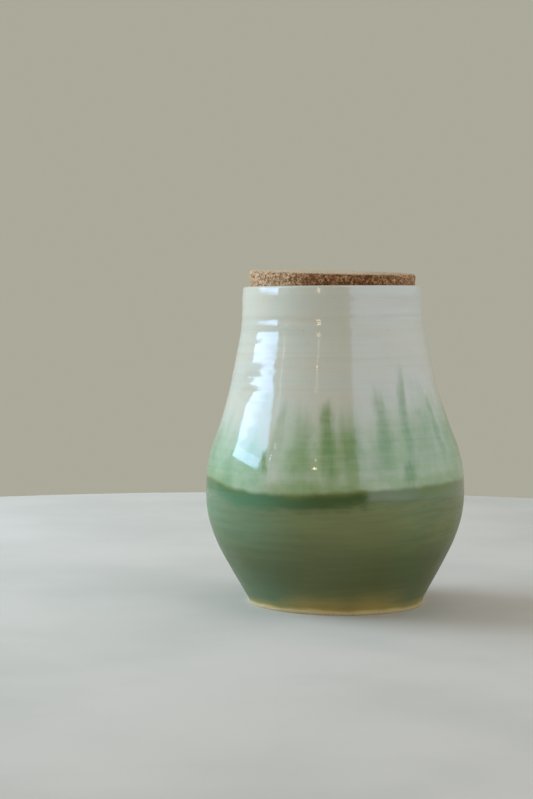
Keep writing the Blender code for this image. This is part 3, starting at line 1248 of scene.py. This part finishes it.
@dataclass
class StonewareJar:
    """The thrown and glazed jar.

    Sizes are metres along and across its own axis, and the ridge, the step and the fades of the
    glazed surface are millimetres. packed_lip_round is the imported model's plainer lip.
    """

    height: float
    belly_diameter: float
    lean: float
    belly_height: float = 0.054
    foot_diameter: float = 0.0816
    foot_band: float = 0.0020
    foot_band_round: float = 0.0008
    foot_edge_round: float = 0.0005
    rim_diameter: float = 0.0862
    rim_lift: float = 0.00021
    rim_tilt: float = 0.00030
    rim_tilt_depth: float = 0.020
    belly_wall: float = 0.005
    rim_wall: float = 0.0035
    floor_thickness: float = 0.007
    floor_round: float = 0.010
    packed_lip_round: float = 0.002
    lip_corner: float = 0.0011
    lip_inner_round: float = 0.0012
    lip_roll: Fade = Fade(146.5, 152.5, 0.0, 0.37)
    relief_end: Fade = Fade(151.6, 149.0)
    line: GlazeLine = GlazeLine()
    line_ridge: float = 0.08
    line_ridge_height: float = 0.4
    line_ridge_width: float = 1.4
    line_step: Fade = Fade(-0.7, 1.0, -0.04, 0.0)
    segments: int = 256
    outer_steps: int = 262
    inner_steps: int = 44
    corner_steps: int = 8
    floor_rings: int = 8
    edge_steps: int = 3

    @classmethod
    def from_frame(cls) -> "StonewareJar":
        """Takes the jar's height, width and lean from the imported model.

        Returns:
            The jar.
        """
        low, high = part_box("stoneware_jar")
        lean = -math.asin(Vector(frame["joints"][0]["axis"]).x)
        middle = cls.rim_diameter / 2 - cls.packed_lip_round
        lip_middle = (high.z - cls.packed_lip_round - middle * math.sin(lean)) / math.cos(lean)
        return cls(height=lip_middle + cls.packed_lip_round, belly_diameter=high.y - low.y, lean=lean)

    def stations(self) -> list[Span]:
        """Places the points that the outer wall passes through.

        Returns:
            The (height, radius) points, foot to rim.
        """
        foot, belly, rim = self.foot_diameter / 2, self.belly_diameter / 2, self.rim_diameter / 2
        above = self.height - self.belly_height
        lower = [(self.belly_height * up, foot + (belly - foot) * out) for up, out in LOWER_WALL_SHARES]
        upper = [
            (self.belly_height + above * up, rim + (belly - rim) * out) for up, out in UPPER_WALL_SHARES
        ]
        return lower + upper

    def outer_wall(self, height: float) -> Span:
        """Gives the outer wall's radius and slope at a height, on a smooth curve.

        Args:
            height: the height along the jar's axis.

        Returns:
            The radius, and how much it grows for each metre of height.
        """
        stations = self.stations()
        spans = [high[0] - low[0] for low, high in zip(stations, stations[1:])]
        chords = [(high[1] - low[1]) / span for low, high, span in zip(stations, stations[1:], spans)]
        slopes = [chords[0]]
        for index in range(len(chords) - 1):
            weighted = chords[index] * spans[index + 1] + chords[index + 1] * spans[index]
            slopes.append(weighted / (spans[index] + spans[index + 1]))
        slopes.append(chords[-1])
        if height <= 0:
            return stations[0][1] + slopes[0] * height, slopes[0]
        index = 0
        while index < len(stations) - 2 and height > stations[index + 1][0]:
            index += 1
        span = spans[index]
        t = (height - stations[index][0]) / span
        rise = stations[index + 1][1] - stations[index][1]
        start = span * slopes[index]
        end = span * slopes[index + 1]
        cubic = start + end - 2 * rise
        square = 3 * rise - 2 * start - end
        radius = stations[index][1] + t * (start + t * (square + t * cubic))
        return radius, (start + t * (2 * square + t * 3 * cubic)) / span

    def banded_radius(self, height: float) -> float:
        """Gives the outer wall's radius with the short upright band at the foot.

        Args:
            height: the height along the jar's axis.

        Returns:
            The radius, which stays as it is at the band's top all the way down the band.
        """
        level = (height + self.foot_band + math.hypot(height - self.foot_band, self.foot_band_round)) / 2
        return self.outer_wall(level)[0]

    def inner_radius(self, height: float) -> float:
        """Gives the inner wall's radius, with the thickness square to the outer wall.

        Args:
            height: the height along the jar's axis.

        Returns:
            The radius.
        """
        share = max(0.0, (height - self.belly_height) / (self.height - self.belly_height))
        thickness = self.belly_wall + (self.rim_wall - self.belly_wall) * share
        radius, slope = self.outer_wall(height)
        return radius - thickness * math.hypot(1, slope)

    def profile(self) -> Section:
        """Draws the wall's section, from under the foot round the lip to the floor's middle.

        Returns:
            The section's (radius, height, place) points.
        """
        spare = self.foot_diameter * math.tan(self.lean)
        step = (self.height - self.lip_corner) / self.outer_steps
        first = math.ceil((spare / 2 + self.foot_edge_round) / step)
        heights = [-spare] + [step * index for index in range(first, self.outer_steps)]
        outside = [(self.banded_radius(height), height, Place.OUTSIDE) for height in heights]
        return [(0.0, -spare, Place.OUTSIDE), *outside, *self.lip(), *self.inside()]

    def lip(self) -> Section:
        """Draws the section of the rounded lip.

        Returns:
            The section's (radius, height, place) points, outside to inside.
        """
        outside = self.outer_wall(self.height - self.lip_corner)[0] - self.lip_corner
        inside = self.inner_radius(self.height) + self.lip_inner_round
        corners = (
            (outside, self.lip_corner, 0.0, Place.OUTSIDE),
            (inside, self.lip_inner_round, 90.0, Place.INSIDE),
        )
        points = []
        for centre, radius, first, place in corners:
            for step in range(self.corner_steps + 1):
                turn = math.radians(first + 90.0 * step / self.corner_steps)
                up = self.height - radius + radius * math.sin(turn)
                points.append((centre + radius * math.cos(turn), up, place))
        return points

    def inside(self) -> Section:
        """Draws the section of the inner wall, the rounded corner and the floor.

        Returns:
            The section's (radius, height, place) points, lip to middle.
        """
        top = self.height - self.lip_inner_round
        bottom = self.floor_thickness + self.floor_round
        heights = [top + (bottom - top) * step / self.inner_steps for step in range(1, self.inner_steps)]
        points = [(self.inner_radius(height), height) for height in heights]
        wall_end = Vector((self.inner_radius(bottom), bottom))
        corner = Vector((self.inner_radius(self.floor_thickness), self.floor_thickness))
        floor_end = corner - Vector((self.floor_round, 0))
        for step in range(self.corner_steps + 1):
            t = step / self.corner_steps
            points.append(tuple(wall_end.lerp(corner, t).lerp(corner.lerp(floor_end, t), t)))
        for ring in range(1, self.floor_rings + 1):
            points.append((floor_end.x * (1 - ring / self.floor_rings), self.floor_thickness))
        return [(radius, height, Place.INSIDE) for radius, height in points]

    def relief(self, height: float, angle: float) -> float:
        """Gives how far the glazed outside stands off its smooth outline.

        Args:
            height: millimetres along the jar's axis.
            angle: degrees round the jar.

        Returns:
            Millimetres, negative in a groove.
        """
        away = sum(ripple.rise_at(height, angle) for ripple in RIPPLES)
        away -= sum(groove.depth_at(height, angle) for groove in GROOVES)
        above = height - self.line.height_at(angle)
        ridge = (above - self.line_ridge_height) / self.line_ridge_width
        return away + self.line_ridge * math.exp(-ridge * ridge) + self.line_step.at(above)

    def turn_wall(self, shape: bmesh.types.BMesh) -> None:
        """Turns the section about the jar's axis.

        Args:
            shape: the empty mesh that the wall goes into.
        """
        liner = shape.verts.layers.float.new("liner")
        ring = []
        for radius, height, place in self.profile():
            vertex = shape.verts.new((radius, 0, height))
            vertex[liner] = 1.0 if place is Place.INSIDE else 0.0
            ring.append(vertex)
        edges = [shape.edges.new(pair) for pair in zip(ring, ring[1:])]
        bmesh.ops.spin(
            shape,
            geom=ring + edges,
            cent=(0, 0, 0),
            axis=(0, 0, 1),
            angle=math.tau,
            steps=self.segments,
            use_merge=True,
        )
        bmesh.ops.remove_doubles(shape, verts=shape.verts, dist=0.01 * MILLIMETRE)
        bmesh.ops.recalc_face_normals(shape, faces=shape.faces)

    def press_relief(self, shape: bmesh.types.BMesh) -> None:
        """Presses the relief into the wall's outside, and tilts the rim.

        Args:
            shape: the turned wall.
        """
        relief = shape.verts.layers.float.new("relief")
        liner = shape.verts.layers.float["liner"]
        near_rim = Fade(self.height - self.rim_tilt_depth, self.height)
        for vertex in shape.verts:
            vertex[relief] = RELIEF_ZERO
            across = math.hypot(vertex.co.x, vertex.co.y)
            if not vertex[liner] and across > MILLIMETRE:
                angle = math.degrees(math.atan2(vertex.co.x, -vertex.co.y))
                height = vertex.co.z / MILLIMETRE
                away = self.relief(height, angle) * self.relief_end.at(height)
                vertex[relief] += away
                grown = 1 + (away - self.lip_roll.at(height)) * MILLIMETRE / across
                vertex.co.x *= grown
                vertex.co.y *= grown
            rise = self.rim_lift - self.rim_tilt * vertex.co.x / (self.rim_diameter / 2)
            vertex.co.z += near_rim.at(vertex.co.z) * rise

    def cut_foot(self, shape: bmesh.types.BMesh) -> None:
        """Leans the jar, cuts its foot flat, rounds the foot's edge and turns rings under it.

        Args:
            shape: the turned wall.
        """
        lean = Matrix.Rotation(-self.lean, 3, "Y")
        bmesh.ops.rotate(shape, verts=shape.verts, cent=(0, 0, 0), matrix=lean)
        everything = shape.verts[:] + shape.edges[:] + shape.faces[:]
        cut = bmesh.ops.bisect_plane(
            shape, geom=everything, plane_co=(0, 0, 0), plane_no=(0, 0, -1), clear_outer=True
        )
        foot_edge = [item for item in cut["geom_cut"] if isinstance(item, bmesh.types.BMEdge)]
        bmesh.ops.contextual_create(shape, geom=foot_edge)
        bmesh.ops.bevel(
            shape,
            geom=foot_edge,
            offset=self.foot_edge_round,
            offset_type="OFFSET",
            segments=self.edge_steps,
            profile=0.5,
            affect="EDGES",
            material=-1,
        )
        self.turn_underside(shape)
        bmesh.ops.recalc_face_normals(shape, faces=shape.faces)

    def turn_underside(self, shape: bmesh.types.BMesh) -> None:
        """Turns shallow rings up into the flat underside, as the wire leaves them in the clay.

        Args:
            shape: the wall with its foot cut flat.
        """
        under = max(shape.faces, key=lambda face: len(face.verts))
        middle = under.calc_center_bounds()
        inside = 1.0
        for share, rise in UNDERSIDE_SHARES:
            grown = bmesh.ops.extrude_face_region(shape, geom=[under])["geom"]
            under = next(item for item in grown if isinstance(item, bmesh.types.BMFace))
            about = Matrix.Translation(-middle)
            bmesh.ops.scale(shape, vec=(share / inside, share / inside, 1), space=about, verts=under.verts)
            lift = rise * self.foot_edge_round - under.calc_center_bounds().z
            bmesh.ops.translate(shape, vec=(0, 0, lift), verts=under.verts)
            inside = share

    def build(self) -> bpy.types.Object:
        """Builds and dresses the jar, and puts it in the place of its CAD node.

        Returns:
            The jar.
        """
        shape = bmesh.new()
        self.turn_wall(shape)
        self.press_relief(shape)
        self.cut_foot(shape)
        jar = finished_object("glazed_jar", shape, JarFinish(self.line).make(self.lean))
        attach(jar, "jar")
        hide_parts("stoneware_jar")
        return jar


# How far the ends of a level edge of the stopper's starting cube may differ in height
NEARLY_LEVEL = 0.001
# Turns a cell's middle into a number that looks drawn at random
SCATTER_FACTORS = (12.9898, 78.233, 37.719)
SCATTER_SCALE = 43758.5453


@dataclass
class CorkStopper:
    """The tapered stopper of pressed cork granules. Sizes are metres about its own axis."""

    mouth_radius: float
    seat_height: float
    lean: float
    throat_depth: float
    thickness: float = 0.0216
    proud: float = 0.0071
    edge_round: float = 0.0021
    clearance: float = 0.0003
    taper: float = math.radians(5.4)
    tilt_right: float = math.radians(2.3)
    tilt_front: float = math.radians(2.0)
    granule: float = 0.00125
    granule_seed: int = 5
    granule_warp: float = 0.35
    granule_warp_scale: float = 1.3
    gap_depth: float = 0.00020
    gap_edge: float = 0.3
    sunk_share: float = 0.45
    sunk_scatter: float = 7.31
    crown_depth: float = 0.0007
    side_cuts: int = 159
    height_cuts: int = 55

    @classmethod
    def for_jar(cls, jar: StonewareJar) -> "CorkStopper":
        """Sizes the stopper for a jar's mouth.

        Args:
            jar: the jar that it stops.

        Returns:
            The stopper.
        """
        return cls(jar.inner_radius(jar.height), jar.height, jar.lean, jar.lip_inner_round)

    def radius(self, height: float) -> float:
        """Gives the stopper's radius at a height above the jar's rim."""
        return self.mouth_radius - self.clearance + (height + self.throat_depth) * math.tan(self.taper)

    def seat(self) -> Matrix:
        """Works out the stopper's place: askew, and centred in the throat of the leaning jar.

        Returns:
            The place, from the stopper's own axis to the frame.
        """
        shift = self.radius(-self.throat_depth) * math.tan(self.taper) - self.throat_depth
        left = shift * math.tan(self.tilt_right)
        back = shift * math.tan(self.tilt_front)
        place = Matrix.Translation((-left, back, self.seat_height))
        tilt = Matrix.Rotation(self.tilt_right, 4, "Y") @ Matrix.Rotation(self.tilt_front, 4, "X")
        return Matrix.Rotation(-self.lean, 4, "Y") @ place @ tilt

    def rounded(self, across: float, up: float) -> Span:
        """Moves a point of the plain cone's section onto the section with rounded edges.

        Args:
            across: the distance from the stopper's axis.
            up: the height above the jar's rim.

        Returns:
            The moved point, as (across, up).
        """
        bottom = self.proud - self.thickness
        core_up = min(max(up, bottom + self.edge_round), self.proud - self.edge_round)
        core_across = min(across, self.radius(up) - self.edge_round)
        away = Vector((across - core_across, up - core_up))
        if away.length < 0.001 * MILLIMETRE:
            return across, up
        away *= self.edge_round / away.length
        return core_across + away.x, core_up + away.y

    def turn_body(self, shape: bmesh.types.BMesh) -> None:
        """Makes the plain tapered body from a finely cut cube whose square ends become round.

        Args:
            shape: the empty mesh that the body goes into.
        """
        bmesh.ops.create_cube(shape, size=2.0)
        uprights = [edge for edge in shape.edges if abs(edge.verts[0].co.z - edge.verts[1].co.z) > 1]
        bmesh.ops.subdivide_edges(shape, edges=uprights, cuts=self.height_cuts, use_grid_fill=True)
        level = [edge for edge in shape.edges if abs(edge.verts[0].co.z - edge.verts[1].co.z) < NEARLY_LEVEL]
        bmesh.ops.subdivide_edges(shape, edges=level, cuts=self.side_cuts, use_grid_fill=True)
        for vertex in shape.verts:
            u, v, w = vertex.co
            share, turn = max(abs(u), abs(v)), 0.0
            if share > 0:
                if abs(u) >= abs(v):
                    turn = math.pi / 4 * v / abs(u) if u > 0 else math.pi - math.pi / 4 * v / abs(u)
                else:
                    turn = math.pi / 2 - math.pi / 4 * u / abs(v)
                    turn = turn if v > 0 else -turn
            up = self.proud + (w - 1) / 2 * self.thickness
            across, up = self.rounded(share * self.radius(up), up)
            vertex.co = (across * math.cos(turn), across * math.sin(turn), up)

    def press_granules(self, shape: bmesh.types.BMesh) -> None:
        """Cuts the gaps between the granules and stores each granule's tone.

        Args:
            shape: the plain body.
        """
        tone_layer, gap_layer, crown_layer = (
            shape.verts.layers.float.new(name) for name in ("granule", "gap", "crown")
        )
        in_gap = Fade(0.0, self.gap_edge, 1.0, 0.0)
        on_crown = Fade(self.proud - self.crown_depth, self.proud)
        shape.normal_update()
        normals = [vertex.normal.copy() for vertex in shape.verts]
        noise.seed_set(self.granule_seed)
        for vertex, normal in zip(shape.verts, normals):
            place = vertex.co / self.granule
            place = place + self.granule_warp * noise.noise_vector(place * self.granule_warp_scale)
            distances, points = noise.voronoi(place)
            spread = sum(value * factor for value, factor in zip(points[0], SCATTER_FACTORS))
            tone = math.sin(spread) * SCATTER_SCALE
            tone -= math.floor(tone)
            gap = in_gap.at(distances[1] - distances[0])
            sunk = math.fmod(tone * self.sunk_scatter, 1.0)
            vertex[tone_layer] = tone
            vertex[gap_layer] = gap
            # Marks the top face, where the cork's material paints light
            vertex[crown_layer] = on_crown.at(vertex.co.z)
            vertex.co -= normal * self.gap_depth * (gap + self.sunk_share * sunk)

    def build(self) -> bpy.types.Object:
        """Builds and dresses the stopper, and puts it in the place of its CAD node.

        Returns:
            The stopper.
        """
        shape = bmesh.new()
        self.turn_body(shape)
        self.press_granules(shape)
        bmesh.ops.transform(shape, matrix=self.seat(), verts=shape.verts)
        stopper = finished_object("granular_stopper", shape, CorkFinish().make())
        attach(stopper, "stopper")
        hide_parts("cork_stopper")
        return stopper


def finished_object(name: str, shape: bmesh.types.BMesh, material: bpy.types.Material) -> bpy.types.Object:
    """Turns a finished shape into a smooth-shaded object at the origin.

    Args:
        name: the object's name.
        shape: the shape, which is freed.
        material: the object's material.

    Returns:
        The new object.
    """
    mesh = bpy.data.meshes.new(name)
    shape.to_mesh(mesh)
    shape.free()
    mesh.materials.append(material)
    mesh.shade_smooth()
    item = bpy.data.objects.new(name, mesh)
    bpy.context.scene.collection.objects.link(item)
    return item


class Lights(Enum):
    """What a lamp panel does: it lights surfaces, or it is seen in the gloss."""

    SURFACES = "surfaces"
    GLOSS = "gloss"


@dataclass(frozen=True)
class Panel:
    """A soft lamp panel that faces the jar.

    azimuth is degrees from the camera's side, positive to the right, light is the panel's
    brightness, where 1 is a white surface's, and roll turns the panel about its middle.
    """

    name: str
    azimuth: float
    elevation: float
    distance: float
    width: float
    height: float
    light: float
    colour: Colour
    lights: Lights
    roll: float = 0.0


PANELS = (
    Panel("window_panel", -89.3, 27.0, 1.0, 0.645, 0.50, 7.0, (0.33, 0.65, 1.0), Lights.GLOSS, -2.5),
    Panel("window_foot", -89.0, 17.0, 0.99, 0.60, 0.12, 4.5, (0.5, 0.55, 1.0), Lights.GLOSS, -2.5),
    Panel("window_gap_low", -61.0, 15.5, 1.0, 0.012, 0.04, 8.0, (0.75, 0.88, 1.0), Lights.GLOSS),
    Panel("window_gap_middle", -61.5, 22.0, 1.0, 0.016, 0.09, 8.0, (0.75, 0.88, 1.0), Lights.GLOSS),
    Panel("window_gap_high", -61.0, 33.0, 1.0, 0.014, 0.12, 6.0, (0.75, 0.88, 1.0), Lights.GLOSS),
    Panel("warm_lamp", -18.0, 18.5, 1.0, 0.052, 0.022, 28.0, (1.0, 0.74, 0.48), Lights.GLOSS),
    Panel("warm_lamp_high", -18.0, 25.0, 1.0, 0.022, 0.02, 14.0, (1.0, 0.74, 0.48), Lights.GLOSS),
    Panel("window_light", -103.0, 24.0, 1.1, 0.80, 0.60, 8.3, (0.64, 0.83, 1.0), Lights.SURFACES),
    Panel("side_light", 62.0, 20.0, 1.5, 1.20, 1.00, 0.41, (0.88, 0.96, 1.0), Lights.SURFACES),
)


@dataclass
class Studio:
    """The plain floor, the soft light and the camera.

    Lengths are metres and angles are degrees. The pale wall is seen in the gloss alone. Its fades
    go by the azimuth, or by the sine of the elevation.
    """

    aim: Vector
    room: Colour = (0.59, 0.57, 0.53)
    backdrop: Colour = (0.41, 0.40, 0.325)
    wall: Colour = (1.55, 1.92, 2.5)
    wall_foot: Colour = (1.42, 1.75, 2.0)
    wall_foot_height: Fade = Fade(0.35, 0.05)
    wall_edge: Fade = Fade(0.12, 0.02, 22.0, 28.5)
    wall_edge_blur: float = 1.5
    wall_end: Fade = Fade(172.0, 80.0)
    wall_low: Fade = Fade(40.0, 85.0, 1.0, 0.5)
    wall_low_height: float = 0.16
    floor: PlainFinish = PlainFinish("pale_floor", (0.62, 0.59, 0.54), (0.56, 0.54, 0.49))
    floor_radius: float = 0.52
    floor_segments: int = 128
    camera_distance: float = 0.9009
    camera_height: float = 0.1439
    camera_yaw: float = -2.204
    camera_pitch: float = 2.957
    camera_roll: float = 0.562
    lens: float = 84.36
    sensor: float = 36.0
    nearest: float = 0.01

    def build_floor(self) -> None:
        """Makes the round pale table top."""
        shape = bmesh.new()
        bmesh.ops.create_circle(
            shape, cap_ends=True, segments=self.floor_segments, radius=self.floor_radius
        )
        floor = finished_object("floor", shape, self.floor.make())

    def build_room(self) -> None:
        """Sets the soft light from all round, and the backdrop that the camera and the gloss see."""
        world = bpy.data.worlds.new("soft_room")
        world.use_nodes = True
        desk = NodeDesk(world.node_tree)
        rays = desk.add("ShaderNodeLightPath").outputs
        camera, glossy, through = (
            Signal(desk, rays[name]) for name in ("Is Camera Ray", "Is Glossy Ray", "Is Transmission Ray")
        )
        seen = desk.maths("MAXIMUM", desk.maths("MAXIMUM", camera, glossy), through)
        colour = desk.mix(seen, self.room, self.backdrop)
        x, y, z = desk.split(desk.result("ShaderNodeTexCoord", "Generated"))
        azimuth = desk.bearing(x, y)
        edge = z.faded(self.wall_edge)
        from_edge = azimuth.faded(Fade(edge - self.wall_edge_blur, edge + self.wall_edge_blur))
        low = z.faded(Fade(0.0, self.wall_low_height, azimuth.faded(self.wall_low), 1.0))
        shown = from_edge * azimuth.faded(self.wall_end) * low * glossy
        wall = desk.mix(z.faded(self.wall_foot_height), self.wall, self.wall_foot)
        background = {"Color": desk.mix(shown, colour, wall), "Strength": 1.0}
        desk.feed_named(world.node_tree.nodes["Background"], background)
        bpy.context.scene.world = world

    def build_panel(self, panel: Panel) -> None:
        """Hangs one lamp panel.

        Args:
            panel: its place, size and light.
        """
        turn = math.radians(panel.azimuth)
        rise = math.radians(panel.elevation)
        out = Vector((math.sin(turn) * math.cos(rise), -math.cos(turn) * math.cos(rise), math.sin(rise)))
        lamp = bpy.data.lights.new(panel.name, "AREA")
        lamp.shape = "RECTANGLE"
        lamp.size = panel.width
        lamp.size_y = panel.height
        lamp.energy = panel.light * math.pi * panel.width * panel.height
        lamp.color = panel.colour
        item = bpy.data.objects.new(panel.name, lamp)
        item.location = self.aim + out * panel.distance
        item.rotation_mode = "QUATERNION"
        roll = Quaternion((0, 0, 1), math.radians(panel.roll))
        item.rotation_quaternion = out.to_track_quat("Z", "Y") @ roll
        item.visible_camera = False
        item.visible_diffuse = panel.lights is Lights.SURFACES
        item.visible_glossy = panel.lights is Lights.GLOSS
        bpy.context.scene.collection.objects.link(item)

    def build_camera(self) -> None:
        """Sets up the camera at the height and tilt of the photograph's."""
        lens = bpy.data.cameras.new("camera")
        lens.lens = self.lens
        lens.sensor_width = self.sensor
        lens.clip_start = self.nearest
        camera = bpy.data.objects.new("camera", lens)
        turn = Matrix.Rotation(-math.radians(self.camera_yaw), 4, "Z")
        tilt = Matrix.Rotation(math.radians(90 - self.camera_pitch), 4, "X")
        roll = Matrix.Rotation(math.radians(self.camera_roll), 4, "Z")
        place = Matrix.Translation((0, -self.camera_distance, self.camera_height))
        camera.matrix_world = place @ turn @ tilt @ roll
        bpy.context.scene.collection.objects.link(camera)
        bpy.context.scene.camera = camera

    def build(self) -> None:
        """Builds the floor, the light and the camera."""
        self.build_floor()
        self.build_room()
        for panel in PANELS:
            self.build_panel(panel)
        self.build_camera()
        bpy.context.scene.view_settings.view_transform = "Standard"


def main() -> None:
    """Builds the jar, its stopper and the studio."""
    logging.basicConfig(level=logging.INFO, format="%(name)s: %(message)s")
    jar = StonewareJar.from_frame()
    stopper = CorkStopper.for_jar(jar)
    for piece in (jar.build(), stopper.build()):
        LOG.info("%s has %d faces", piece.name, len(piece.data.polygons))
    Studio(aim=Vector((0, 0, jar.belly_height))).build()


if __name__ == "__main__":
    main()
